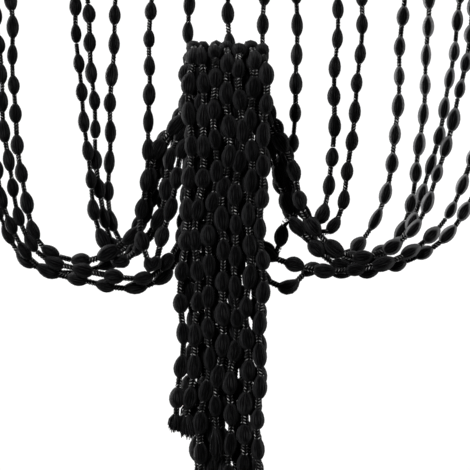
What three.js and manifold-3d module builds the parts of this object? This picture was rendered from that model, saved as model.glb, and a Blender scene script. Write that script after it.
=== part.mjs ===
// String curtain of beaded yarn strands, drawn together into two swags and a hanging bundle
// Millimetres, +Z up, the front faces -Y, the origin is the middle of the heading's top edge.
import * as THREE from "three";
import Module from "manifold-3d";

const wasm = await Module();
wasm.setup();

// Heading band and the two edge strips that the strands are sewn into.
const CURTAIN_WIDTH = 900;
const HEADING_HEIGHT = 45;
const HEADING_THICKNESS = 2.4;
const SEAT_GAP = 0.3;
const STRIP_HEIGHT = 7;
const STRIP_THICKNESS = 5;

// One strand: a cord whose yarn puffs into a soft oval bead at every pitch.
const STRAND_LENGTH = 1955;
const STRAND_SPACING = 44;
const BEAD_PITCH = 34;
const BEAD_WIDTH = 11.4;
const NECK_WIDTH = 4.4;
const TUFT_WIDTH = 9.6;
const ROOT_WIDTH = 3.4;
const SHORTEST_RING_STEP = 8;
const CORNERS = 3;

// The place where the strands turn over and fall in front, in columns across and layers deep.
const TURN = { x: -8, y: -62, z: -877 };
const MIDDLE_COLUMN = 3;
const COLUMN_STEP = 13.2;
const LAYERS = [
  { radius: 18, shift: 3.3, drift: -2, spread: 0.9 },
  { radius: 31, shift: -3.3, drift: -2, spread: 0.9 },
  { radius: 44, shift: 0, drift: -14, spread: 1.15 },
];
const RUN_OUT = 50;
const STRETCH_STEPS = 24;
const TURN_STEPS = 16;
const FALL_STEPS = 60;
const LENGTH_SAMPLES = 3000;
const FALL_SETTLE = 500;
const FALL_SWAY = { size: 1.5, length: 260, phase: 0.9, ease: 100 };

// One row for each strand, from the left. hang: where it passes the hanging height. knee: where it starts to
// swing in. low: its lowest point. rise: where it turns up to the bundle. lift: where it passes the lifting height.
// column, layer: its place in the bundle. cut: how much shorter it is. lead: the first bead's distance from the root.
const HANG_Z = -770;
const LIFT_Z = -944;
const FIRST_LEAN = { z: -420, share: 0.35 };
const COLUMNS = [
  "hangX", "kneeX", "kneeY", "kneeZ", "lowX", "lowY", "lowZ", "riseX", "riseY", "riseZ", "liftX",
  "column", "layer", "cut", "lead",
];
const STRANDS = [
  [-323, -245, -17, -1062, -181, -18, -1083, -97, -18, -1041, -70, 1, 2, 59, 22],
  [-302, -235, -31, -1063, -170, -31, -1092, -69, -31, -1071, -50, 1, 1, 0, 40],
  [-276, -227, -42, -1054, -169, -44, -1079, -66, -44, -1055, -36, 2, 1, 0, 28],
  [-259, -221, -31, -1046, -170, -37, -1069, -113, -44, -1037, -84, 0, 0, 203, 40],
  [-185, -152, -28, -1037, -132, -31, -1070, -89, -41, -1026, -67, 1, 0, 0, 17],
  [-169, -147, -6, -1032, -131, -3, -1059, -100, -26, -1010, -82, 0, 1, 262, 23],
  [-138, -142, 7, -1025, -125, 9, -1053, -99, -13, -1005, -85, 0, 2, 230, 25],
  [-97, -99, -57, -985, -103, -58, -1049, -78, -58, -1032, -55, 2, 0, 0, 21],
  [-53, -47, -2, -1017, -41, -10, -1062, -31, -18, -1023, -26, 2, 2, 0, 46],
  [-7, -3, -3, -1029, -5, -13, -1078, -11, -26, -1029, -11, 3, 1, 0, 22],
  [33, 20, 0, -1009, -2, -32, -1061, -4, -45, -1026, -5, 3, 0, 0, 36],
  [71, 66, 5, -948, 59, 8, -979, 52, 8, -963, 47, 5, 2, 0, 36],
  [118, 104, -8, -1000, 91, -18, -1025, 71, -18, -998, 56, 6, 2, 0, 18],
  [147, 119, -12, -1012, 98, -29, -1038, 71, -31, -998, 58, 6, 1, 0, 36],
  [194, 162, -2, -1025, 120, -4, -1062, 64, -12, -1016, 40, 4, 2, 0, 27],
  [224, 184, -14, -1044, 129, -18, -1066, 63, -26, -1016, 41, 5, 1, 0, 39],
  [260, 186, -26, -1046, 116, -32, -1074, 23, -18, -1029, 10, 3, 2, 0, 34],
  [277, 197, -38, -1036, 131, -44, -1065, 79, -46, -1017, 55, 5, 0, 0, 50],
  [321, 230, -22, -1033, 142, -44, -1078, 28, -44, -1054, 17, 4, 0, 0, 29],
  [353, 236, -12, -1046, 140, -18, -1083, 18, -30, -1068, 10, 4, 1, 0, 33],
].map((row) => Object.fromEntries(COLUMNS.map((name, k) => [name, row[k]])));

// Small loops that a strand makes between its lowest point and its rise.
const DIPS = [
  { strand: 1, x: -98, y: -31, z: -1098 },
  { strand: 2, x: -97, y: -44, z: -1087 },
  { strand: 7, x: -94, y: -58, z: -1076 },
  { strand: 16, x: 60, y: -40, z: -1023 },
  { strand: 16, x: 41, y: -30, z: -1062 },
  { strand: 18, x: 71, y: -44, z: -1075 },
  { strand: 19, x: 87, y: -25, z: -1078 },
  { strand: 19, x: 55, y: -36, z: -1099 },
];

const STRIP_TOP = -HEADING_HEIGHT - SEAT_GAP;
const ROOT_Z = STRIP_TOP - STRIP_HEIGHT / 2;

const smooth = THREE.MathUtils.smoothstep;

// The line that a strand follows, from its root down, up to the turn, over it and down in front.
function strandRoute(strand, index) {
  const rootX = (index - (STRANDS.length - 1) / 2) * STRAND_SPACING;
  const layer = LAYERS[strand.layer];
  const offset = (strand.column - MIDDLE_COLUMN) * COLUMN_STEP + layer.shift;
  const turnX = TURN.x + offset;
  const backY = TURN.y + layer.radius;
  const drop = [
    [rootX, 0, ROOT_Z],
    [strand.hangX + (rootX - strand.hangX) * FIRST_LEAN.share, 0, FIRST_LEAN.z],
    [strand.hangX, 0, HANG_Z],
    [strand.kneeX, strand.kneeY, strand.kneeZ],
    [strand.lowX, strand.lowY, strand.lowZ],
  ];
  const loops = DIPS.filter((dip) => dip.strand === index).map((dip) => [dip.x, dip.y, dip.z]);
  const up = [
    [strand.riseX, strand.riseY, strand.riseZ],
    [strand.liftX, strand.riseY, LIFT_Z],
    [turnX, backY, TURN.z],
    [turnX, backY, TURN.z + RUN_OUT],
  ];
  // A smooth line through these places. Its last stretch only steers it, and is left out.
  const places = [...drop, ...loops, ...up].map((place) => new THREE.Vector3(...place));
  const swung = new THREE.CatmullRomCurve3(places, false, "centripetal");
  const points = swung.getPoints((places.length - 1) * STRETCH_STEPS).slice(0, -STRETCH_STEPS - 1);
  const add = (x, y, z) => points.push(new THREE.Vector3(x, y, z));

  // Over the turn.
  for (let k = 0; k < TURN_STEPS; k++) {
    const angle = Math.PI * (k / TURN_STEPS);
    add(turnX, TURN.y + layer.radius * Math.cos(angle), TURN.z + layer.radius * Math.sin(angle));
  }
  // Down in front, with what is left of the strand.
  const frontY = TURN.y - layer.radius;
  let used = 0;
  for (let k = 1; k < points.length; k++) used += points[k].distanceTo(points[k - 1]);
  const fall = STRAND_LENGTH - strand.cut - used;
  const settledX = TURN.x + layer.drift + offset * layer.spread;
  for (let k = 0; k <= FALL_STEPS; k++) {
    const down = (fall * k) / FALL_STEPS;
    const sway = Math.sin((2 * Math.PI * down) / FALL_SWAY.length + FALL_SWAY.phase);
    const drift = (settledX - turnX) * smooth(down / FALL_SETTLE, 0, 1);
    const swayX = FALL_SWAY.size * sway * smooth(down / FALL_SWAY.ease, 0, 1);
    add(turnX + drift + swayX, frontY, TURN.z - down);
  }
  const curve = new THREE.CatmullRomCurve3(points);
  curve.arcLengthDivisions = LENGTH_SAMPLES;
  return curve;
}

// Where the rings of a strand lie along it, and how wide each one is.
function strandRings(length, lead) {
  const rings = [{ at: 0, width: ROOT_WIDTH }];
  const half = BEAD_PITCH / 2;
  if (lead - half > SHORTEST_RING_STEP) rings.push({ at: lead - half, width: NECK_WIDTH });
  for (let k = 0; lead + k * half < length - SHORTEST_RING_STEP; k++) {
    rings.push({ at: lead + k * half, width: k % 2 ? NECK_WIDTH : BEAD_WIDTH });
  }
  rings.push({ at: length, width: TUFT_WIDTH });
  return rings;
}

// A straight prism with one step for each ring, whose rings are then moved onto the route.
function strandGeometry(strand, index) {
  const curve = strandRoute(strand, index);
  const length = curve.getLength();
  const rings = strandRings(length, strand.lead);
  const corner = (k) => {
    const angle = Math.PI / 2 + (2 * Math.PI * k) / CORNERS;
    return new THREE.Vector2(Math.cos(angle), Math.sin(angle));
  };
  const section = new THREE.Shape(Array.from({ length: CORNERS }, (_, k) => corner(k)));
  const steps = rings.length - 1;
  const geometry = new THREE.ExtrudeGeometry(section, { depth: steps, steps, bevelEnabled: false });

  const cornerRadius = 1 / (2 * Math.sin(Math.PI / CORNERS));
  const side = new THREE.Vector3(1, 0, 0);
  const frames = rings.map((ring) => {
    const share = Math.min(ring.at / length, 1);
    const along = curve.getTangentAt(share);
    side.addScaledVector(along, -side.dot(along)).normalize();
    return {
      centre: curve.getPointAt(share),
      side: side.clone(),
      front: new THREE.Vector3().crossVectors(along, side),
      radius: ring.width * cornerRadius,
    };
  });
  const position = geometry.getAttribute("position");
  const point = new THREE.Vector3();
  for (let k = 0; k < position.count; k++) {
    point.fromBufferAttribute(position, k);
    const frame = frames[Math.round(point.z)];
    const across = point.x * frame.radius;
    const outward = point.y * frame.radius;
    point.copy(frame.centre).addScaledVector(frame.side, across).addScaledVector(frame.front, outward);
    position.setXYZ(k, point.x, point.y, point.z);
  }
  return geometry;
}

// A geometry as a closed solid that can be joined to others.
function solidFrom(geometry) {
  const source = geometry.index ? geometry.toNonIndexed() : geometry;
  const position = source.getAttribute("position");
  const places = new Map();
  const vertices = [];
  const triangles = new Uint32Array(position.count);
  for (let k = 0; k < position.count; k++) {
    const xyz = [position.getX(k), position.getY(k), position.getZ(k)];
    const key = xyz.map((value) => value.toFixed(4)).join(" ");
    if (!places.has(key)) {
      places.set(key, vertices.length / 3);
      vertices.push(...xyz);
    }
    triangles[k] = places.get(key);
  }
  return new wasm.Manifold(
    new wasm.Mesh({ numProp: 3, vertProperties: new Float32Array(vertices), triVerts: triangles }),
  );
}

function geometryFrom(solid) {
  const mesh = solid.getMesh();
  const geometry = new THREE.BufferGeometry();
  geometry.setAttribute("position", new THREE.BufferAttribute(new Float32Array(mesh.vertProperties), 3));
  geometry.setIndex(new THREE.BufferAttribute(new Uint32Array(mesh.triVerts), 1));
  geometry.computeVertexNormals();
  return geometry;
}

// The strands of one half of the curtain, with their roots sewn into that half's edge strip.
function halfCurtain(fromX, toX, first, last) {
  const strip = new THREE.BoxGeometry(toX - fromX, STRIP_THICKNESS, STRIP_HEIGHT);
  strip.translate((fromX + toX) / 2, 0, ROOT_Z);
  let solid = solidFrom(strip);
  for (let index = first; index < last; index++) {
    solid = solid.add(solidFrom(strandGeometry(STRANDS[index], index)));
  }
  return geometryFrom(solid);
}

function piece(name, geometry, color, roughness) {
  const mesh = new THREE.Mesh(geometry, new THREE.MeshStandardMaterial({ color, roughness, metalness: 0 }));
  mesh.name = name;
  return mesh;
}

const half = CURTAIN_WIDTH / 2;
const middle = STRANDS.length / 2;

const band = new THREE.BoxGeometry(CURTAIN_WIDTH, HEADING_THICKNESS, HEADING_HEIGHT);
band.translate(0, 0, -HEADING_HEIGHT / 2);

const curtain = new THREE.Group();
curtain.add(piece("heading_band", band, 0x151516, 0.85));
curtain.add(piece("strands_left", halfCurtain(-half, -SEAT_GAP / 2, 0, middle), 0x19191b, 0.95));
curtain.add(piece("strands_right", halfCurtain(SEAT_GAP / 2, half, middle, STRANDS.length), 0x19191b, 0.95));

export default curtain;
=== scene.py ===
# %% [markdown]
# A curtain of beaded yarn strands, drawn together into two swags and a bundle. The real one is a cloth
# heading with twenty strands sewn to its lower edge. Each strand is one length of black yarn that puffs
# into a soft oval bead at every 34 mm, with a short plaited neck between the beads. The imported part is
# opened first, because its solids are plain stand-ins, and what is made here takes their place.

import math
import random

import bpy
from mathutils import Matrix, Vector


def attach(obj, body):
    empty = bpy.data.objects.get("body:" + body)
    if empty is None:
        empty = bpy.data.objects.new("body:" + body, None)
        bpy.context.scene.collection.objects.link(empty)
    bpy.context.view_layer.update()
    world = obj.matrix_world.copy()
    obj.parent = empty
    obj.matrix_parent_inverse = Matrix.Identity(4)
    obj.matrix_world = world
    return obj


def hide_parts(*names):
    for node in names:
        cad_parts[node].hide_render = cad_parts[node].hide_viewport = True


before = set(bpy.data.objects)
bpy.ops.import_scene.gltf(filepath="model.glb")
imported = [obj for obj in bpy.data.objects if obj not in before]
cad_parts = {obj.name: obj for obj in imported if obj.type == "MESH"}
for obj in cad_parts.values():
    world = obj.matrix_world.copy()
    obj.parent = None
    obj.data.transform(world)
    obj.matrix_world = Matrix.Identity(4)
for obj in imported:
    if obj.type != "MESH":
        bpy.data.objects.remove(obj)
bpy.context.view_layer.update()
print("nodes:", sorted(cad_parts))

# %% [markdown]
# The camera comes first, because every look is judged through it. The picture is square, the view is
# level and straight on, and the curtain's heading is above the top of the frame. A long lens from 1.7 m
# makes the strands in front a little larger than the ones behind, as they should be.

# %% Camera
MM = 0.001
CAMERA_DISTANCE = 1700 * MM
FRAME_TOP = -770 * MM
PICTURE_PIXELS = 470
METRES_PER_PIXEL = 1.15 * MM
SENSOR_WIDTH = 36.0

camera_data = bpy.data.cameras.new("picture_camera")
camera_data.sensor_width = SENSOR_WIDTH
camera_data.lens = SENSOR_WIDTH * CAMERA_DISTANCE / (PICTURE_PIXELS * METRES_PER_PIXEL)
camera_data.clip_end = 50
camera = bpy.data.objects.new("picture_camera", camera_data)
camera.location = (0, -CAMERA_DISTANCE, FRAME_TOP - PICTURE_PIXELS / 2 * METRES_PER_PIXEL)
camera.rotation_euler = (math.pi / 2, 0, 0)
bpy.context.scene.collection.objects.link(camera)
bpy.context.scene.camera = camera
print("lens: %.1f mm" % camera_data.lens)

# %% [markdown]
# Each strand leans in from its root, swings down to its lowest point, rises to the turn, goes over it and
# falls in front with what is left of its length. Its route could be drawn freely as a curve. Here it is
# worked out from a few sizes and one table row, the same as in the part's own source, so that the yarn
# lies where the solids lie and every strand has its real length. The functions give points in metres.

# %% Sizes of the curtain
CURTAIN_WIDTH = 900 * MM
HEADING_HEIGHT = 45 * MM
HEADING_THICKNESS = 2.4 * MM
SEAT_GAP = 0.3 * MM
STRIP_HEIGHT = 7 * MM
STRIP_THICKNESS = 5 * MM
STRIP_TOP = -HEADING_HEIGHT - SEAT_GAP
ROOT_Z = STRIP_TOP - STRIP_HEIGHT / 2

STRAND_LENGTH = 1955 * MM
STRAND_SPACING = 44 * MM
BEAD_PITCH = 34 * MM

TURN = Vector((-8, -62, -877)) * MM
MIDDLE_COLUMN = 3
COLUMN_STEP = 13.2 * MM
LAYERS = (
    {"radius": 18, "shift": 3.3, "drift": -2, "spread": 0.9},
    {"radius": 31, "shift": -3.3, "drift": -2, "spread": 0.9},
    {"radius": 44, "shift": 0, "drift": -14, "spread": 1.15},
)
RUN_OUT = 50 * MM
FALL_SETTLE = 500 * MM
SWAY_SIZE = 1.5 * MM
SWAY_LENGTH = 260 * MM
SWAY_PHASE = 0.9
SWAY_EASE = 100 * MM
print("curtain: %.3f m wide, strands up to %.3f m long" % (CURTAIN_WIDTH, STRAND_LENGTH))

# %% Table of the strands, in millimetres
# hang: where a strand passes the hanging height. knee: where it starts to swing in. low: its lowest
# point. rise: where it turns up to the bundle. lift: where it passes the lifting height. column, layer:
# its place in the bundle. cut: how much shorter it is. lead: the first bead's distance from the root.
HANG_Z = -770
LIFT_Z = -944
FIRST_LEAN_Z = -420
FIRST_LEAN_SHARE = 0.35
COLUMNS = (
    "hangX kneeX kneeY kneeZ lowX lowY lowZ riseX riseY riseZ liftX column layer cut lead"
).split()
ROWS = (
    (-323, -245, -17, -1062, -181, -18, -1083, -97, -18, -1041, -70, 1, 2, 59, 22),
    (-302, -235, -31, -1063, -170, -31, -1092, -69, -31, -1071, -50, 1, 1, 0, 40),
    (-276, -227, -42, -1054, -169, -44, -1079, -66, -44, -1055, -36, 2, 1, 0, 28),
    (-259, -221, -31, -1046, -170, -37, -1069, -113, -44, -1037, -84, 0, 0, 203, 40),
    (-185, -152, -28, -1037, -132, -31, -1070, -89, -41, -1026, -67, 1, 0, 0, 17),
    (-169, -147, -6, -1032, -131, -3, -1059, -100, -26, -1010, -82, 0, 1, 262, 23),
    (-138, -142, 7, -1025, -125, 9, -1053, -99, -13, -1005, -85, 0, 2, 230, 25),
    (-97, -99, -57, -985, -103, -58, -1049, -78, -58, -1032, -55, 2, 0, 0, 21),
    (-53, -47, -2, -1017, -41, -10, -1062, -31, -18, -1023, -26, 2, 2, 0, 46),
    (-7, -3, -3, -1029, -5, -13, -1078, -11, -26, -1029, -11, 3, 1, 0, 22),
    (33, 20, 0, -1009, -2, -32, -1061, -4, -45, -1026, -5, 3, 0, 0, 36),
    (71, 66, 5, -948, 59, 8, -979, 52, 8, -963, 47, 5, 2, 0, 36),
    (118, 104, -8, -1000, 91, -18, -1025, 71, -18, -998, 56, 6, 2, 0, 18),
    (147, 119, -12, -1012, 98, -29, -1038, 71, -31, -998, 58, 6, 1, 0, 36),
    (194, 162, -2, -1025, 120, -4, -1062, 64, -12, -1016, 40, 4, 2, 0, 27),
    (224, 184, -14, -1044, 129, -18, -1066, 63, -26, -1016, 41, 5, 1, 0, 39),
    (260, 186, -26, -1046, 116, -32, -1074, 23, -18, -1029, 10, 3, 2, 0, 34),
    (277, 197, -38, -1036, 131, -44, -1065, 79, -46, -1017, 55, 5, 0, 0, 50),
    (321, 230, -22, -1033, 142, -44, -1078, 28, -44, -1054, 17, 4, 0, 0, 29),
    (353, 236, -12, -1046, 140, -18, -1083, 18, -30, -1068, 10, 4, 1, 0, 33),
)
STRANDS = [dict(zip(COLUMNS, row)) for row in ROWS]

# Small loops that a strand makes between its lowest point and its rise: strand counted from 0, x, y, z.
DIPS = (
    (1, -98, -31, -1098),
    (2, -97, -44, -1087),
    (7, -94, -58, -1076),
    (16, 60, -40, -1023),
    (16, 41, -30, -1062),
    (18, 71, -44, -1075),
    (19, 87, -25, -1078),
    (19, 55, -36, -1099),
)
print("strands:", len(STRANDS))


# %% The line that a strand follows
def smooth(value):
    value = min(max(value, 0.0), 1.0)
    return value * value * (3 - 2 * value)


def smooth_line(places, steps):
    """Points on a centripetal Catmull-Rom line through the places, the same as in the part's source."""
    ahead, behind = places[-1] * 2 - places[-2], places[0] * 2 - places[1]
    knots = [behind, *places, ahead]
    points = []
    for p0, p1, p2, p3 in zip(knots, knots[1:], knots[2:], knots[3:]):
        d0, d1, d2 = (math.sqrt((b - a).length) for a, b in ((p0, p1), (p1, p2), (p2, p3)))
        leave = ((p1 - p0) / d0 - (p2 - p0) / (d0 + d1) + (p2 - p1) / d1) * d1
        arrive = ((p2 - p1) / d1 - (p3 - p1) / (d1 + d2) + (p3 - p2) / d2) * d1
        for k in range(steps):
            t = k / steps
            bend = (p2 - p1) * 3 - leave * 2 - arrive
            settle = (p1 - p2) * 2 + leave + arrive
            points.append(p1 + leave * t + bend * t**2 + settle * t**3)
    return points


STRETCH_STEPS = 72
TURN_STEPS = 48
FALL_STEPS = 240


def strand_route(index):
    """Points along one strand, from its root to its cut end."""
    strand = STRANDS[index]
    root_x = (index - (len(STRANDS) - 1) / 2) * STRAND_SPACING
    layer = LAYERS[strand["layer"]]
    radius = layer["radius"] * MM
    offset = (strand["column"] - MIDDLE_COLUMN) * COLUMN_STEP + layer["shift"] * MM
    turn_x = TURN.x + offset
    back_y = TURN.y + radius

    hang_x = strand["hangX"] * MM
    lean_x = hang_x + (root_x - hang_x) * FIRST_LEAN_SHARE
    places = [
        Vector((root_x, 0, ROOT_Z)),
        Vector((lean_x, 0, FIRST_LEAN_Z * MM)),
        Vector((hang_x, 0, HANG_Z * MM)),
    ]
    for name in ("knee", "low"):
        places.append(Vector([strand[name + axis] for axis in "XYZ"]) * MM)
    places += [Vector(place) * MM for number, *place in DIPS if number == index]
    places.append(Vector([strand["rise" + axis] for axis in "XYZ"]) * MM)
    places.append(Vector((strand["liftX"], strand["riseY"], LIFT_Z)) * MM)
    places += [Vector((turn_x, back_y, TURN.z)), Vector((turn_x, back_y, TURN.z + RUN_OUT))]
    points = smooth_line(places, STRETCH_STEPS)[:-STRETCH_STEPS]

    for k in range(TURN_STEPS):
        angle = math.pi * k / TURN_STEPS
        y = TURN.y + radius * math.cos(angle)
        points.append(Vector((turn_x, y, TURN.z + radius * math.sin(angle))))
    used = route_length(points)
    fall = STRAND_LENGTH - strand["cut"] * MM - used
    settled_x = TURN.x + layer["drift"] * MM + offset * layer["spread"]
    for k in range(FALL_STEPS + 1):
        down = fall * k / FALL_STEPS
        sway = SWAY_SIZE * math.sin(2 * math.pi * down / SWAY_LENGTH + SWAY_PHASE)
        x = turn_x + (settled_x - turn_x) * smooth(down / FALL_SETTLE)
        x += sway * smooth(down / SWAY_EASE)
        points.append(Vector((x, TURN.y - radius, TURN.z - down)))
    return points


def route_length(points):
    return sum((b - a).length for a, b in zip(points, points[1:]))


# %% [markdown]
# Real strands never hang quite straight: each wanders a few millimetres from its neighbours. Two slow
# waves for each strand, with their own phases, do this without breaking the route. Where a strand hangs
# from the heading its own weight stretches it and its beads are slim. Where it lies slack, in the swags
# and in the bundle, they puff out.

# %% Wander of a strand
WANDER_SIZE = 1.6 * MM
SLACK_WANDER = 3.4 * MM
WANDER_LENGTHS = (105 * MM, 190 * MM)
WANDER_EASE = 60 * MM
SLACK_SWELL = 0.17
SWELL_START = 2.7
SWELL_STRETCH = 1.2
DEPTH_SHARE = 0.6
WANDER_SEED = 500


def slackness(step):
    """0 where a strand hangs stretched, 1 where it lies slack."""
    return smooth((step / STRETCH_STEPS - SWELL_START) / SWELL_STRETCH)


def wandered(points, index):
    """The same points, moved a little to the side and in depth."""
    chance = random.Random(WANDER_SEED + index)
    phases = [chance.uniform(0, 2 * math.pi) for _ in range(4)]
    moved = []
    along = 0.0
    for k, point in enumerate(points):
        if k:
            along += (point - points[k - 1]).length
        ease = smooth(along / WANDER_EASE)
        waves = [math.sin(2 * math.pi * along / WANDER_LENGTHS[n % 2] + phases[n]) for n in range(4)]
        size = WANDER_SIZE + (SLACK_WANDER - WANDER_SIZE) * slackness(k)
        side = size * ease * (waves[0] + waves[1]) / 2
        depth = DEPTH_SHARE * size * ease * (waves[2] + waves[3]) / 2
        moved.append(point + Vector((side, depth, 0)))
    return moved


ROUTES = [wandered(strand_route(k), k) for k in range(len(STRANDS))]
lengths = [route_length(route) for route in ROUTES]
print("strand lengths: %.3f to %.3f m" % (min(lengths), max(lengths)))

# %% [markdown]
# The finishes of the yarn share one effect: fine fibres that run along it. They could come from an image,
# but a noise that is stretched along the piece has no seam and no end. It is built once, as a node group.
# It reads a direction that goes around and along the piece and puts out a mask from 0 to 1. Each material
# uses that mask for colour, roughness and bump, with its own amounts.


# %% Helpers for nodes
def add_node(tree, kind, inputs=None, **settings):
    """A new node, whose inputs get a value each or are wired to another node's output."""
    node = tree.nodes.new(kind)
    for name, value in settings.items():
        setattr(node, name, value)
    for name, source in (inputs or {}).items():
        if isinstance(source, bpy.types.NodeSocket):
            tree.links.new(source, node.inputs[name])
        else:
            node.inputs[name].default_value = source
    return node


def math_node(tree, operation, *values):
    """The outcome of a sum, product, power or the like of values and sockets."""
    return add_node(tree, "ShaderNodeMath", dict(enumerate(values)), operation=operation).outputs[0]


def smooth_step(tree, value, limits):
    """0 below the first limit and 1 above the second, with a smooth rise between them."""
    inputs = {"Value": value, "From Min": limits[0], "From Max": limits[1]}
    return add_node(tree, "ShaderNodeMapRange", inputs, interpolation_type="SMOOTHSTEP").outputs[0]


def between(tree, value, ends):
    """The value 0 to 1 brought between two ends."""
    inputs = {"Value": value, "To Min": ends[0], "To Max": ends[1]}
    return add_node(tree, "ShaderNodeMapRange", inputs).outputs[0]


def mixed_colour(tree, share, first, second):
    inputs = {"Factor": share, "A": first, "B": second}
    return add_node(tree, "ShaderNodeMix", inputs, data_type="RGBA").outputs["Result"]


# %% Node group: fibres along the yarn
FIBRE_LIMITS = (0.36, 0.66)


def make_fibre_group():
    group = bpy.data.node_groups.new("yarn_fibres", "ShaderNodeTree")
    group.interface.new_socket("Direction", in_out="INPUT", socket_type="NodeSocketVector")
    for name in ("Around", "Along", "Fineness", "Sharpness"):
        group.interface.new_socket(name, in_out="INPUT", socket_type="NodeSocketFloat")
    group.interface.new_socket("Fibres", in_out="OUTPUT", socket_type="NodeSocketFloat")
    given = add_node(group, "NodeGroupInput").outputs
    around, along = given["Around"], given["Along"]
    stretch = add_node(group, "ShaderNodeCombineXYZ", {"X": around, "Y": around, "Z": along})
    factors = {0: given["Direction"], 1: stretch.outputs[0]}
    stretched = add_node(group, "ShaderNodeVectorMath", factors, operation="MULTIPLY")
    noise = add_node(group, "ShaderNodeTexNoise", {
        "Vector": stretched.outputs[0], "Scale": given["Fineness"], "Detail": 3.0, "Roughness": 0.6,
    })
    crisp = smooth_step(group, noise.outputs["Fac"], FIBRE_LIMITS)
    sharp = math_node(group, "POWER", crisp, given["Sharpness"])
    add_node(group, "NodeGroupOutput", {"Fibres": sharp})
    return group


FIBRES = make_fibre_group()
print("node group:", FIBRES.name)

# %% [markdown]
# Black yarn isn't black paint. Face on it is nearly black and matt, with fine grey fibres. Where a bead
# turns away, the stray fibres around it catch the light, and a strand that hangs free has a pale and
# sharp edge there. That edge is a painted sheen: the Principled shader's own sheen is too soft for it, so
# Layer Weight finds where the bead turns away and the colour goes over to a pale grey. A value stored in
# the mesh says how strong that painted sheen is on each strand. The plaited necks are pulled tight, and
# the ridges of their plies get a painted glint, a pale colour, while the bead tips get painted shade.

# %% Names of the values stored in the meshes
FIBRE_DIRECTION = "fibre"
BEAD_TONE = "tone"
# Painted shade at the bead tips and painted glints on the ridges of the plaits.
PAINTED_SHADE_AND_GLINT = "shade"
# Strength of the painted sheen at the rims.
PAINTED_SHEEN = "fuzz"

# %% Yarn materials
# Painted sheen: the pale grey at the rims, and where on the turning surface it begins.
EDGE_BLEND = 0.5
EDGE_LIMITS = (0.15, 0.36)
PAINTED_SHEEN_COLOUR = (0.12, 0.12, 0.122, 1)
SHEEN_TINT = (0.9, 0.92, 1.0, 1)
FIBRE_DEPTH = 0.4 * MM


def yarn_material(name, colours, roughness, fibres, evenness, bump, constants):
    """A material whose fibre mask, with painted shade and glints from the mesh, leads from the first colour
    and roughness to the second, and whose colour turns to a pale painted sheen at the rim.
    """
    material = bpy.data.materials.new(name)
    material.use_nodes = True
    tree = material.node_tree
    shader = tree.nodes["Principled BSDF"]
    direction, tone, shade, fuzz = (
        add_node(tree, "ShaderNodeAttribute", attribute_name=stored).outputs
        for stored in (FIBRE_DIRECTION, BEAD_TONE, PAINTED_SHADE_AND_GLINT, PAINTED_SHEEN)
    )
    inputs = {"Direction": direction["Vector"], **fibres}
    mask = add_node(tree, "ShaderNodeGroup", inputs, node_tree=FIBRES).outputs["Fibres"]
    # Painted shade and glint: the stored value darkens the fibres towards the bead tips and puts a pale
    # painted glint on each ridge of the plait.
    shaded = math_node(tree, "MULTIPLY", mask, shade["Fac"])
    lit = math_node(tree, "MULTIPLY", shaded, between(tree, tone["Fac"], (evenness, 1.0)))
    # Painted sheen: where the surface turns away from the view, the base colour goes over to a pale grey,
    # as strongly as the stored value says.
    facing = add_node(tree, "ShaderNodeLayerWeight", {"Blend": EDGE_BLEND}).outputs["Facing"]
    painted_sheen_mask = math_node(tree, "MULTIPLY", smooth_step(tree, facing, EDGE_LIMITS), fuzz["Fac"])
    colour = mixed_colour(tree, painted_sheen_mask, mixed_colour(tree, lit, *colours), PAINTED_SHEEN_COLOUR)
    raised = add_node(tree, "ShaderNodeBump", {"Height": mask, "Strength": bump, "Distance": FIBRE_DEPTH})
    tree.links.new(colour, shader.inputs["Base Color"])
    tree.links.new(between(tree, shaded, roughness), shader.inputs["Roughness"])
    tree.links.new(raised.outputs[0], shader.inputs["Normal"])
    shader.inputs["Sheen Tint"].default_value = SHEEN_TINT
    for socket, value in constants.items():
        shader.inputs[socket].default_value = value
    return material


BEAD_YARN = yarn_material(
    "bead_yarn",
    colours=((0.0004, 0.0004, 0.0005, 1), (0.02, 0.02, 0.0205, 1)),
    roughness=(0.9, 0.62),
    fibres={"Around": 5.0, "Along": 0.9, "Fineness": 3.2, "Sharpness": 3.0},
    evenness=0.4,
    bump=1.0,
    constants={"Sheen Weight": 0.02, "Sheen Roughness": 0.3, "Specular IOR Level": 0.03},
)
PLAITED_CORD = yarn_material(
    "plaited_cord",
    # The second colour is the pale colour of the painted glints on the plies' ridges; the tone of each neck
    # varies their strength at random.
    colours=((0.0002, 0.0002, 0.0002, 1), (0.9, 0.9, 0.9, 1)),
    roughness=(0.9, 0.4),
    fibres={"Around": 3.0, "Along": 1.6, "Fineness": 3.0, "Sharpness": 0.3},
    evenness=0.2,
    bump=0.2,
    constants={"Sheen Weight": 0.0, "Sheen Roughness": 0.4, "Specular IOR Level": 0.05},
)
CUT_YARN = yarn_material(
    "cut_yarn",
    colours=((0.0004, 0.0004, 0.0004, 1), (0.008, 0.008, 0.0085, 1)),
    roughness=(0.9, 0.6),
    fibres={"Around": 2.0, "Along": 0.6, "Fineness": 3.0, "Sharpness": 1.4},
    evenness=0.5,
    bump=0.4,
    constants={"Sheen Weight": 0.03, "Sheen Roughness": 0.35, "Specular IOR Level": 0.05},
)
print("materials:", BEAD_YARN.name, PLAITED_CORD.name, CUT_YARN.name)

# %% [markdown]
# One bead is a puff of yarn between two tight necks: an olive about 26 mm long and 14 mm thick. It is
# repeated over a thousand times, so it has only some eighty faces, and smooth shading and the fibre bump
# do the rest. It is made standing on its own, along Z, with a stored direction that says which way its
# fibres run.


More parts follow.
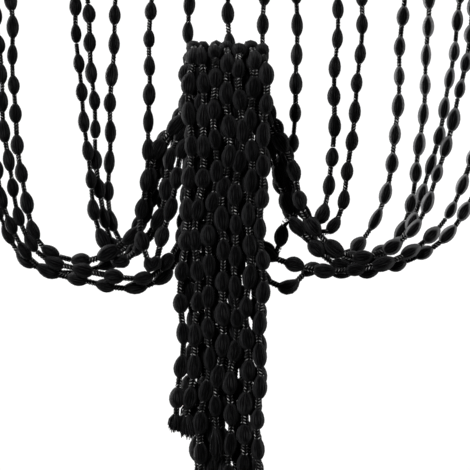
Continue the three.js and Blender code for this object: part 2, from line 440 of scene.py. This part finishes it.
# %% Helpers for meshes
def mesh_object(name, points, faces, directions=None, painted_shades_and_glints=None, material=None):
    mesh = bpy.data.meshes.new(name)
    mesh.from_pydata(points, [], faces)
    if directions:
        layer = mesh.attributes.new(FIBRE_DIRECTION, "FLOAT_VECTOR", "POINT")
        for k, value in enumerate(directions):
            layer.data[k].vector = value
    if painted_shades_and_glints:
        mesh.attributes.new(PAINTED_SHADE_AND_GLINT, "FLOAT", "POINT").data.foreach_set("value", painted_shades_and_glints)
    if material:
        mesh.materials.append(material)
    mesh.update()
    return bpy.data.objects.new(name, mesh)


def closed_tube(rings):
    """Faces of a tube from its rings' point numbers, with a face over each end."""
    faces = []
    for near, far in zip(rings, rings[1:]):
        for k in range(len(near)):
            ahead = (k + 1) % len(near)
            faces.append((near[k], near[ahead], far[ahead], far[k]))
    return faces + [tuple(reversed(rings[0])), tuple(rings[-1])]


def numbered_rings(count, size):
    return [range(k * size, (k + 1) * size) for k in range(count)]


def tube(centres, radii, sides, lobes=0.0):
    """Points, faces and fibre directions of a round tube whose rings follow the centres."""
    points, directions = [], []
    up = Vector((0, 0, 1))
    for k, centre in enumerate(centres):
        ahead = centres[min(k + 1, len(centres) - 1)] - centres[max(k - 1, 0)]
        turn = up.rotation_difference(ahead)
        for side in range(sides):
            angle = 2 * math.pi * side / sides
            arm = turn @ Vector((math.cos(angle), math.sin(angle), 0))
            points.append(centre + arm * radii[k] * (1 + lobes * math.cos(3 * angle)))
            directions.append((math.cos(angle), math.sin(angle), k / (len(centres) - 1)))
    return points, closed_tube(numbered_rings(len(centres), sides)), directions


# %% One bead
BEAD_LENGTH = 26 * MM
BEAD_RADIUS = 7.2 * MM
BEAD_TIP = 1.7 * MM
BEAD_RINGS = (0.0, 0.05, 0.14, 0.28, 0.45, 0.62, 0.78, 0.9, 0.96, 1.0)
BEAD_SIDES = 9
BEAD_BLUNTNESS = 0.6
BEAD_DROOP = 1.1
BEAD_LOBES = 0.05
TIP_SHADE = 0.1


def bead_radius(share):
    around = math.pi * share**BEAD_DROOP
    return BEAD_TIP + (BEAD_RADIUS - BEAD_TIP) * math.sin(around) ** BEAD_BLUNTNESS


def make_bead():
    centres = [Vector((0, 0, (share - 0.5) * BEAD_LENGTH)) for share in BEAD_RINGS]
    radii = [bead_radius(share) for share in BEAD_RINGS]
    points, faces, directions = tube(centres, radii, BEAD_SIDES, BEAD_LOBES)
    # Painted shade: the fibres are darker towards the tips, where the bead narrows into its necks.
    painted_shades_and_glints = [min(1.0, radius / BEAD_RADIUS + TIP_SHADE) for radius in radii for _ in range(BEAD_SIDES)]
    return mesh_object("bead_shape", points, faces, directions, painted_shades_and_glints)


bead_shape = make_bead()
print("bead faces:", len(bead_shape.data.polygons))

# %% [markdown]
# Between two beads the yarn is drawn into a tight round plait of four plies, which shows short strokes of
# light that meet in chevrons. It could be four wound tubes, but on a neck of 13 mm only the ridges of the
# plies can be seen. So a neck is a dark core with four columns of lobes around it, slanting left and
# right by turns, and the ridge of each lobe gets its own painted glint: a pale colour of its own strength,
# stored in the mesh. A lobe has only eight faces, because there are sixteen of them on each neck.

# %% One plaited neck
NECK_LENGTH = 13 * MM
CORE_RADIUS = 2.5 * MM
CORE_SIDES = 6
LOBE_COLUMNS = 4
LOBE_ROWS = 4
LOBE_PITCH = 3.3 * MM
LOBE_DISTANCE = 2.3 * MM
LOBE_LENGTH = 3.8 * MM
LOBE_RADIUS = 0.65 * MM
LOBE_SLANT = math.radians(52)
GLINT_SEED = 3
LEAST_GLINT = 0.15
GLINT_POWER = 1.7
TIP_GLINT = 0.7


def make_lobe(centre, outward, along):
    """Points and faces of one lobe: a square ring around its middle and a tip at each end."""
    beside = along.cross(outward)
    ring = [centre + arm * LOBE_RADIUS for arm in (outward, beside, -outward, -beside)]
    tips = [centre - along * (LOBE_LENGTH / 2), centre + along * (LOBE_LENGTH / 2)]
    faces = []
    for k in range(4):
        ahead = (k + 1) % 4
        faces += [(k, ahead, 5), (ahead, k, 4)]
    return ring + tips, faces


def make_neck():
    ends = [Vector((0, 0, -NECK_LENGTH / 2)), Vector((0, 0, NECK_LENGTH / 2))]
    points, faces, directions = tube(ends, [CORE_RADIUS] * 2, CORE_SIDES)
    painted_shades_and_glints = [0.0] * len(points)
    chance = random.Random(GLINT_SEED)
    for column in range(LOBE_COLUMNS):
        angle = 2 * math.pi * column / LOBE_COLUMNS
        outward = Vector((math.cos(angle), math.sin(angle), 0))
        sideways = Vector((-math.sin(angle), math.cos(angle), 0))
        slant = LOBE_SLANT if column % 2 else -LOBE_SLANT
        along = Vector((0, 0, 1)) * math.cos(slant) + sideways * math.sin(slant)
        for row in range(LOBE_ROWS):
            height = (row - (LOBE_ROWS - 1) / 2) * LOBE_PITCH
            lobe, lobe_faces = make_lobe(outward * LOBE_DISTANCE + Vector((0, 0, height)), outward, along)
            faces += [tuple(len(points) + n for n in face) for face in lobe_faces]
            points += lobe
            directions += [(math.cos(angle), math.sin(angle), 0.0)] * len(lobe)
            # Painted glint: each lobe's ridge and tips get a pale colour of random strength, its sides
            # none.
            glint = chance.uniform(LEAST_GLINT, 1.0) ** GLINT_POWER
            painted_shades_and_glints += [glint, 0.0, 0.0, 0.0, TIP_GLINT * glint, TIP_GLINT * glint]
    return mesh_object("neck_shape", points, faces, directions, painted_shades_and_glints)


neck_shape = make_neck()
print("neck faces:", len(neck_shape.data.polygons))

# %% [markdown]
# A strand's end is simply cut. The last half puff opens into a short brush of loose yarn. Single hairs
# would be far too many, so the brush is made of locks. One lock is a thin tube that leaves the neck,
# swells outward and tapers off, and a small tree of Geometry Nodes sets 70 of them around the middle,
# each with its own length, width and lean.

# %% One lock of cut yarn
LOCK_LENGTH = 22 * MM
LOCK_STEPS = 5
LOCK_SIDES = 4
LOCK_SPREAD = 6.2 * MM
LOCK_OPENING = 1.5
LOCK_CURL = 0.5 * MM
LOCK_WAVES = 5
LOCK_RADIUS = 1.25 * MM
LOCK_TAPER = 0.55


def make_lock():
    centres, radii = [], []
    for k in reversed(range(LOCK_STEPS + 1)):
        share = k / LOCK_STEPS
        out = LOCK_SPREAD * smooth(share * LOCK_OPENING)
        centres.append(Vector((out, LOCK_CURL * math.sin(LOCK_WAVES * share), -LOCK_LENGTH * share)))
        radii.append(LOCK_RADIUS * (1 - LOCK_TAPER * share))
    points, faces, directions = tube(centres, radii, LOCK_SIDES)
    return mesh_object("lock_shape", points, faces, directions, [1.0] * len(points))


lock_shape = make_lock()
print("lock faces:", len(lock_shape.data.polygons))


# %% Helpers for trees of Geometry Nodes
def new_tree(name, kinds, numbers):
    """An empty tree with named inputs: some of a kind, and some numbers with their usual values."""
    group = bpy.data.node_groups.new(name, "GeometryNodeTree")
    for socket, kind in {"Geometry": "Geometry", **kinds}.items():
        group.interface.new_socket(socket, in_out="INPUT", socket_type="NodeSocket" + kind)
    for socket, value in numbers.items():
        number = group.interface.new_socket(socket, in_out="INPUT", socket_type="NodeSocketFloat")
        number.default_value = value
    group.interface.new_socket("Geometry", in_out="OUTPUT", socket_type="NodeSocketGeometry")
    return group, add_node(group, "NodeGroupInput").outputs


def end_tree(group, given, geometry):
    """The end of a tree: its geometry gets its material and goes out."""
    inputs = {"Geometry": geometry, "Material": given["Material"]}
    finish = add_node(group, "GeometryNodeSetMaterial", inputs)
    add_node(group, "NodeGroupOutput", {"Geometry": finish.outputs[0]})
    return group


def random_between(group, low, high, seed, identity=None):
    """A random number for each point, between two values or sockets."""
    inputs = {2: low, 3: high, "Seed": seed}
    if identity is not None:
        inputs["ID"] = identity
    return add_node(group, "FunctionNodeRandomValue", inputs, data_type="FLOAT").outputs[1]


def run_tree(base, group, values):
    """The mesh that a tree makes from an object. Its inputs are set by the identifiers of their sockets."""
    modifier = base.modifiers.new(group.name, "NODES")
    modifier.node_group = group
    for item in group.interface.items_tree:
        if item.item_type == "SOCKET" and item.in_out == "INPUT" and item.name in values:
            modifier[item.identifier] = values[item.name]
    bpy.context.scene.collection.objects.link(base)
    graph = bpy.context.evaluated_depsgraph_get()
    mesh = bpy.data.meshes.new_from_object(base.evaluated_get(graph), depsgraph=graph)
    base.modifiers.remove(modifier)
    bpy.data.objects.remove(base)
    return mesh


# %% Geometry Nodes: a brush of locks
BRUSH_KINDS = {"Lock": "Object", "Locks": "Int", "Seed": "Int", "Material": "Material"}
BRUSH_NUMBERS = {"Shortest": 0.66}
LOCKS = 70
LOCK_TURN = math.radians(137.5)
LOCK_LEAN = 0.12
LOCK_WIDTHS = (0.15, 1.15)
LEAN_SEED = 3
WIDTH_SEED = 5


def make_brush_tree():
    group, given = new_tree("brush_of_locks", BRUSH_KINDS, BRUSH_NUMBERS)
    line = add_node(group, "GeometryNodeMeshLine", {"Count": given["Locks"], "Offset": (0, 0, 0)})
    shape = add_node(group, "GeometryNodeObjectInfo", {"Object": given["Lock"]})
    index = add_node(group, "GeometryNodeInputIndex").outputs[0]
    spin = math_node(group, "MULTIPLY", index, LOCK_TURN)
    lean = random_between(group, -LOCK_LEAN, LOCK_LEAN, LEAN_SEED)
    turn = add_node(group, "ShaderNodeCombineXYZ", {"X": lean, "Y": lean, "Z": spin})
    width = random_between(group, *LOCK_WIDTHS, WIDTH_SEED)
    length = random_between(group, given["Shortest"], 1.0, given["Seed"])
    size = add_node(group, "ShaderNodeCombineXYZ", {"X": width, "Y": 1.0, "Z": length})
    place = add_node(group, "GeometryNodeInstanceOnPoints", {
        "Points": line.outputs[0], "Instance": shape.outputs["Geometry"],
        "Rotation": turn.outputs[0], "Scale": size.outputs[0],
    })
    real = add_node(group, "GeometryNodeRealizeInstances", {0: place.outputs[0]})
    return end_tree(group, given, real.outputs[0])


BRUSH_TREE = make_brush_tree()
brush_mesh = run_tree(
    mesh_object("brush_base", [(0, 0, 0)], []),
    BRUSH_TREE,
    {"Lock": lock_shape, "Locks": LOCKS, "Seed": 7, "Material": CUT_YARN},
)
print("brush faces:", len(brush_mesh.polygons))

# The brush hangs down from its neck, and a strand's shapes stand along Z, so it is turned over.
for vertex in brush_mesh.vertices:
    vertex.co.z = -vertex.co.z
brush_mesh.flip_normals()
brush_shape = bpy.data.objects.new("brush_shape", brush_mesh)

# %% [markdown]
# Beads could be placed along a strand one by one, but then each would stay stiff where the strand bends
# sharply. Here the whole rank is first laid out straight, with small chances in size, spin and place, and
# then every point of it is moved onto the route: its height becomes the distance along the curve, and its
# offset goes along the curve's normal and across it. So a bead on the turn bends with its strand. The
# same tree lays out beads, necks and brushes. The curve's radius is larger where the strand lies slack.
# There the shapes puff out, and their painted sheen is turned down, as painted shade from the neighbours.

# %% Geometry Nodes: a rank of shapes bent along a route
RANK_KINDS = {"Shape": "Object", "Count": "Int", "Seed": "Int", "Material": "Material"}
RANK_NUMBERS = {
    "First": 0.0, "Pitch": BEAD_PITCH, "Slimmest": 1.0, "Widest": 1.0, "Shortest": 1.0, "Longest": 1.0,
    "Stray": 0.0, "Swell": 1.0, "Fuzz": 0.0,
}
BUNDLE_PAINTED_SHEEN = 0.06
SECOND_CHANCE = 977
THIRD_CHANCE = (3, 311)


def store_number(group, geometry, name, value, domain):
    """The same geometry, with a number stored for each of its points or copies."""
    inputs = {"Geometry": geometry, "Name": name, "Value": value}
    kind = "GeometryNodeStoreNamedAttribute"
    return add_node(group, kind, inputs, data_type="FLOAT", domain=domain).outputs[0]


def straight_rank(group, given):
    """Copies of the shape along Z, each with its own width, length, spin, place and tone."""
    first = add_node(group, "ShaderNodeCombineXYZ", {"Z": given["First"]})
    step = add_node(group, "ShaderNodeCombineXYZ", {"Z": given["Pitch"]})
    line = add_node(group, "GeometryNodeMeshLine", {
        "Count": given["Count"], "Start Location": first.outputs[0], "Offset": step.outputs[0],
    })
    shape = add_node(group, "GeometryNodeObjectInfo", {"Object": given["Shape"]})

    # A random number depends on its seed and on the copy's number, so other numbers give other chances.
    index = add_node(group, "GeometryNodeInputIndex").outputs[0]
    second = math_node(group, "ADD", index, SECOND_CHANCE)
    third = math_node(group, "MULTIPLY_ADD", index, *THIRD_CHANCE)
    seed, slim, wide = given["Seed"], given["Slimmest"], given["Widest"]
    size = add_node(group, "ShaderNodeCombineXYZ", {
        "X": random_between(group, slim, wide, seed),
        "Y": random_between(group, slim, wide, seed, second),
        "Z": random_between(group, given["Shortest"], given["Longest"], seed, third),
    })
    spin = random_between(group, 0.0, 2 * math.pi, seed, third)
    turn = add_node(group, "ShaderNodeCombineXYZ", {"Z": spin})
    stray = math_node(group, "MULTIPLY", random_between(group, -1.0, 1.0, seed, second), given["Stray"])
    shift = add_node(group, "ShaderNodeCombineXYZ", {"Z": stray})
    inputs = {"Geometry": line.outputs[0], "Offset": shift.outputs[0]}
    moved = add_node(group, "GeometryNodeSetPosition", inputs)
    place = add_node(group, "GeometryNodeInstanceOnPoints", {
        "Points": moved.outputs[0], "Instance": shape.outputs["Geometry"],
        "Rotation": turn.outputs[0], "Scale": size.outputs[0],
    })
    tone = random_between(group, 0.0, 1.0, seed, second)
    toned = store_number(group, place.outputs[0], BEAD_TONE, tone, "INSTANCE")
    return add_node(group, "GeometryNodeRealizeInstances", {0: toned}).outputs[0]


def bent_rank(group, given, straight):
    """The straight rank moved onto the route, with the strength of the painted sheen at each point."""
    spot = add_node(group, "GeometryNodeInputPosition").outputs[0]
    offset = add_node(group, "ShaderNodeSeparateXYZ", {0: spot}).outputs
    width = add_node(group, "GeometryNodeInputRadius").outputs[0]
    route = add_node(
        group,
        "GeometryNodeSampleCurve",
        {"Curves": given["Geometry"], "Length": offset["Z"], "Value": width},
        mode="LENGTH",
        data_type="FLOAT",
    ).outputs
    swell = math_node(group, "POWER", route["Value"], given["Swell"])
    vector_kind = "ShaderNodeVectorMath"
    arms = {0: route["Tangent"], 1: route["Normal"]}
    across = add_node(group, vector_kind, arms, operation="CROSS_PRODUCT").outputs[0]
    place = route["Position"]
    for arm, reach in ((route["Normal"], offset["X"]), (across, offset["Y"])):
        swollen = math_node(group, "MULTIPLY", reach, swell)
        step = add_node(group, vector_kind, {0: arm, "Scale": swollen}, operation="SCALE").outputs[0]
        place = add_node(group, vector_kind, {0: place, 1: step}, operation="ADD").outputs[0]
    # In the bundle, where the strand lies slack, the painted sheen goes down to a low value, as painted
    # shade from the neighbours.
    fuzz = add_node(group, "ShaderNodeMapRange", {
        "Value": route["Value"], "From Min": 1.0, "From Max": 1.0 + SLACK_SWELL,
        "To Min": given["Fuzz"], "To Max": BUNDLE_PAINTED_SHEEN,
    })

    # The painted sheen is stored before the points move, because its place is read from the straight
    # rank.
    with_painted_sheen = store_number(group, straight, PAINTED_SHEEN, fuzz.outputs[0], "POINT")
    bent = add_node(group, "GeometryNodeSetPosition", {"Geometry": with_painted_sheen, "Position": place})
    return add_node(group, "GeometryNodeSetShadeSmooth", {"Geometry": bent.outputs[0]}).outputs[0]


def make_rank_tree():
    group, given = new_tree("rank_on_route", RANK_KINDS, RANK_NUMBERS)
    return end_tree(group, given, bent_rank(group, given, straight_rank(group, given)))


RANK_TREE = make_rank_tree()
print("trees:", BRUSH_TREE.name, RANK_TREE.name)


# %% A route as a curve object
def route_curve(index):
    data = bpy.data.curves.new("route_%02d" % (index + 1), "CURVE")
    data.dimensions = "3D"
    line = data.splines.new("POLY")
    points = ROUTES[index]
    line.points.add(len(points) - 1)
    for k, point in enumerate(points):
        line.points[k].co = (*point, 1)
        line.points[k].radius = 1 + SLACK_SWELL * slackness(k)
    return bpy.data.objects.new(data.name, data)


# %% [markdown]
# Each strand is now four ranks on one route: the plain plait at its root, its beads, the necks between
# them and its cut end. A bead's pitch is fixed, so the number of beads follows from the strand's length,
# and the brush takes up what is left. The strands that hang free at the right get the strongest painted
# sheen.

# %% The ranks of one strand
BRUSH_LEAST = 16 * MM
BRUSH_OVERLAP = 2 * MM
ROOT_REACH = 9 * MM
LEAST_PAINTED_SHEEN = 0.03
MOST_PAINTED_SHEEN = 0.85
FIRST_SHEENED_STRAND = 13
SHEEN_RISE_STRANDS = 2
NECK_PAINTED_SHEEN = 0.1
FIRST_SEED = 40


def lay_rank(index, shape, material, count, first, **numbers):
    values = {"Shape": shape, "Material": material, "Count": count, "First": first, **numbers}
    return run_tree(route_curve(index), RANK_TREE, {**values, "Seed": FIRST_SEED + index})


def strand_ranks(index):
    length = route_length(ROUTES[index])
    lead = STRANDS[index]["lead"] * MM
    beads = int((length - BRUSH_LEAST - lead - BEAD_PITCH / 2) / BEAD_PITCH) + 1
    last_neck = lead + (beads - 0.5) * BEAD_PITCH
    brush = (length - last_neck) / LOCK_LENGTH
    root_necks = max(1, round((lead - ROOT_REACH) / NECK_LENGTH))
    root_pitch = (lead - ROOT_REACH) / root_necks
    root = root_pitch / NECK_LENGTH
    # Painted sheen: weak on most strands and strong on the free strands at the right.
    fuzz = LEAST_PAINTED_SHEEN + (MOST_PAINTED_SHEEN - LEAST_PAINTED_SHEEN) * smooth((index - FIRST_SHEENED_STRAND) / SHEEN_RISE_STRANDS)
    return {
        "beads": lay_rank(
            index, bead_shape, BEAD_YARN, beads, lead,
            Fuzz=fuzz, Slimmest=0.86, Widest=1.12, Shortest=0.84, Longest=1.08, Stray=1.5 * MM,
        ),
        "necks": lay_rank(
            index, neck_shape, PLAITED_CORD, beads, lead + BEAD_PITCH / 2,
            Fuzz=NECK_PAINTED_SHEEN * fuzz, Slimmest=0.95, Widest=1.15, Swell=1.2,
        ),
        "roots": lay_rank(
            index, neck_shape, PLAITED_CORD, root_necks, root_pitch / 2,
            Fuzz=NECK_PAINTED_SHEEN * fuzz, Pitch=root_pitch, Shortest=root, Longest=root,
        ),
        "ends": lay_rank(
            index, brush_shape, CUT_YARN, 1, last_neck - BRUSH_OVERLAP,
            Fuzz=fuzz, Slimmest=0.9, Widest=1.15, Shortest=brush, Longest=brush,
        ),
    }


# %% [markdown]
# All shapes of one kind on one half of the curtain are joined into one piece, because they are parts of
# the same lengths of yarn, sewn to one strip. A piece for each strand would make sixty of them.


# %% The pieces of the two halves
def join_meshes(name, meshes):
    objects = [bpy.data.objects.new(name, mesh) for mesh in meshes]
    for item in objects:
        bpy.context.scene.collection.objects.link(item)
    with bpy.context.temp_override(
        active_object=objects[0], selected_objects=objects, selected_editable_objects=objects
    ):
        bpy.ops.object.join()
    joined = objects[0]
    joined.name = joined.data.name = name
    return joined


HALVES = {"left": range(0, 10), "right": range(10, 20)}
KINDS = {
    "beads": {"slot": "yarn", "ranks": ("beads",)},
    "necks": {"slot": "twisted_cord", "ranks": ("roots", "necks")},
    "ends": {"slot": "yarn", "ranks": ("ends",)},
}
for side, members in HALVES.items():
    strands = [strand_ranks(k) for k in members]
    for kind, made_of in KINDS.items():
        ranks = [strand[rank] for strand in strands for rank in made_of["ranks"]]
        piece = join_meshes("%s_%s" % (kind, side), ranks)
        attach(piece, "root")
        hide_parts("strands_" + side)
        print(piece.name, "triangles:", sum(len(face.vertices) - 2 for face in piece.data.polygons))

# %% [markdown]
# The picture cuts the curtain off below its heading, so the heading is plain: a woven band folded flat,
# with its lower edge rolled around the strands' roots. The weave is too fine for geometry, so two
# crossing waves in the material stand for its threads. They read Object coordinates, because the band is
# flat and lies along the axes.


# %% Woven cloth material
THREADS = {"X": 300.0, "Z": 340.0}
CLOTH_COLOURS = ((0.001, 0.001, 0.001, 1), (0.012, 0.012, 0.013, 1))
CLOTH_ROUGHNESS = (0.95, 0.7)
THREAD_DEPTH = 0.3 * MM


def cloth_material():
    material = bpy.data.materials.new("heading_cloth")
    material.use_nodes = True
    tree = material.node_tree
    shader = tree.nodes["Principled BSDF"]
    place = add_node(tree, "ShaderNodeTexCoord").outputs["Object"]
    warp, weft = (
        add_node(
            tree,
            "ShaderNodeTexWave",
            {"Vector": place, "Scale": scale, "Distortion": 0.6, "Detail": 1.0},
            bands_direction=direction,
        )
        for direction, scale in THREADS.items()
    )
    weave = math_node(tree, "MAXIMUM", warp.outputs["Fac"], weft.outputs["Fac"])
    raised = add_node(tree, "ShaderNodeBump", {"Height": weave, "Strength": 0.5, "Distance": THREAD_DEPTH})
    tree.links.new(mixed_colour(tree, weave, *CLOTH_COLOURS), shader.inputs["Base Color"])
    tree.links.new(between(tree, weave, CLOTH_ROUGHNESS), shader.inputs["Roughness"])
    tree.links.new(raised.outputs[0], shader.inputs["Normal"])
    shader.inputs["Sheen Weight"].default_value = 0.03
    shader.inputs["Specular IOR Level"].default_value = 0.1
    return material


HEADING_CLOTH = cloth_material()
print("material:", HEADING_CLOTH.name)

# %% [markdown]
# The heading band is one strip of cloth, folded double and pressed. It is drawn as a closed section of
# two faces that runs along the curtain, with a ripple that grows towards its free lower edge.

# %% The heading band
BAND_STEPS = 120
BAND_ROWS = 6
BAND_INSET = 0.3 * MM
BAND_RIPPLE = 0.5 * MM
RIPPLE_WAVES = (38, 11)
FOLD_THICKNESS = 0.6


def make_smooth_cloth(name, rings):
    """A cloth piece whose section runs along the curtain, given as a list of rings of points."""
    points = [point for ring in rings for point in ring]
    faces = closed_tube(numbered_rings(len(rings), len(rings[0])))
    piece = mesh_object(name, points, faces, material=HEADING_CLOTH)
    piece.data.polygons.foreach_set("use_smooth", [True] * len(piece.data.polygons))
    bpy.context.scene.collection.objects.link(piece)
    print(name, "faces:", len(faces))
    return piece


def make_band():
    section = []
    for k in range(BAND_ROWS + 1):
        z = -BAND_INSET - (HEADING_HEIGHT - 2 * BAND_INSET) * k / BAND_ROWS
        fold = FOLD_THICKNESS if k in (0, BAND_ROWS) else 1.0
        section.append((-HEADING_THICKNESS / 2 * fold, z))
    section += [(-y, z) for y, z in reversed(section)]
    rings = []
    for step in range(BAND_STEPS + 1):
        x = (step / BAND_STEPS - 0.5) * CURTAIN_WIDTH
        ripple = BAND_RIPPLE * math.sin(x * RIPPLE_WAVES[0]) * math.sin(x * RIPPLE_WAVES[1] + 1)
        rings.append([(x, y + ripple * (-z / HEADING_HEIGHT), z) for y, z in section])
    return make_smooth_cloth("heading", rings)


heading = make_band()
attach(heading, "root")
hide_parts("heading_band")

# %% [markdown]
# The rolled lower edge is a thick round hem, one for each half. It is drawn as a tube with a flattened
# section that swells a little between the strands, where no root draws it in.

# %% The rolled edge
ROLL_STEPS = 240
ROLL_SIDES = 10
ROLL_PULL = 0.12
ROLL_HEIGHT = 0.98 * STRIP_HEIGHT


def make_roll(side, from_x, to_x):
    rings = []
    for step in range(ROLL_STEPS + 1):
        x = from_x + (to_x - from_x) * step / ROLL_STEPS
        pull = 1 - ROLL_PULL * math.cos(2 * math.pi * x / STRAND_SPACING)
        angles = [2 * math.pi * k / ROLL_SIDES for k in range(ROLL_SIDES)]
        rings.append([
            (x, STRIP_THICKNESS / 2 * pull * math.cos(angle), ROOT_Z + ROLL_HEIGHT / 2 * math.sin(angle))
            for angle in angles
        ])
    roll = make_smooth_cloth("edge_roll_" + side, rings)
    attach(roll, "root")
    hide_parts("strands_" + side)


make_roll("left", -CURTAIN_WIDTH / 2, -SEAT_GAP / 2)
make_roll("right", SEAT_GAP / 2, CURTAIN_WIDTH / 2)

# %% [markdown]
# Seen by the camera the world is plain white, as in the picture, but it lights the yarn only gently, so
# that black stays black. The pale floor does the same: it glows for the camera alone, and throws little
# light back.

# %% World and floor
WORLD_SEEN = 1.05
WORLD_LIGHT = 0.12
FLOOR_Z = -2.05
FLOOR_RADIUS = 2.2
FLOOR_SIDES = 64
FLOOR_GLOW = 0.7

world = bpy.data.worlds.new("studio")
bpy.context.scene.world = world
world.use_nodes = True
sky = world.node_tree
sky.nodes.clear()
seen_by_eye = add_node(sky, "ShaderNodeLightPath").outputs["Is Camera Ray"]
light, white = (
    add_node(sky, "ShaderNodeBackground", {"Color": (1, 1, 1, 1), "Strength": strength}).outputs[0]
    for strength in (WORLD_LIGHT, WORLD_SEEN)
)
mixed = add_node(sky, "ShaderNodeMixShader", {0: seen_by_eye, 1: light, 2: white})
add_node(sky, "ShaderNodeOutputWorld", {"Surface": mixed.outputs[0]})

floor_material = bpy.data.materials.new("floor_paint")
floor_material.use_nodes = True
floor_tree = floor_material.node_tree
floor_shader = floor_tree.nodes["Principled BSDF"]
floor_shader.inputs["Base Color"].default_value = (0.25, 0.25, 0.25, 1)
floor_shader.inputs["Roughness"].default_value = 1.0
floor_shader.inputs["Specular IOR Level"].default_value = 0.0
floor_shader.inputs["Emission Color"].default_value = (1, 1, 0.99, 1)
seen_by_eye = add_node(floor_tree, "ShaderNodeLightPath").outputs["Is Camera Ray"]
glow = math_node(floor_tree, "MULTIPLY", seen_by_eye, FLOOR_GLOW)
floor_tree.links.new(glow, floor_shader.inputs["Emission Strength"])

floor_points = []
for k in range(FLOOR_SIDES):
    angle = 2 * math.pi * k / FLOOR_SIDES
    floor_points.append((FLOOR_RADIUS * math.cos(angle), FLOOR_RADIUS * math.sin(angle), FLOOR_Z))
floor = mesh_object("floor", floor_points, [tuple(range(FLOOR_SIDES))], material=floor_material)
bpy.context.scene.collection.objects.link(floor)
print("floor at:", FLOOR_Z)

# %% [markdown]
# Two tall lights behind the curtain, one at each side, are turned to the free strands on the right and
# light the painted sheen at their edges. In front, high on the left, a large light shows the fibres
# softly, and a small one lights the pale painted glints on the plaits.


# %% Lights
def soft_light(name, place, target, size, power):
    data = bpy.data.lights.new(name, "AREA")
    data.shape = "RECTANGLE"
    data.size, data.size_y = size
    data.energy = power
    light = bpy.data.objects.new(name, data)
    light.location = place
    light.rotation_euler = (Vector(target) - Vector(place)).to_track_quat("-Z", "Y").to_euler()
    light.visible_camera = False
    bpy.context.scene.collection.objects.link(light)


MIDDLE = (0, 0, -1.04)
RIGHT_STRANDS = (0.25, 0, -0.95)
soft_light("rim_right", (0.95, 0.28, -0.9), RIGHT_STRANDS, (0.4, 1.2), 24)
soft_light("rim_left", (-0.6, 0.45, -0.7), RIGHT_STRANDS, (0.4, 1.2), 48)
soft_light("front_soft", (-1.0, -2.2, 0.0), MIDDLE, (1.2, 1.2), 24)
soft_light("front_glint", (-0.9, -2.2, 0.2), MIDDLE, (0.2, 0.2), 72)
bpy.context.scene.view_settings.view_transform = "Standard"
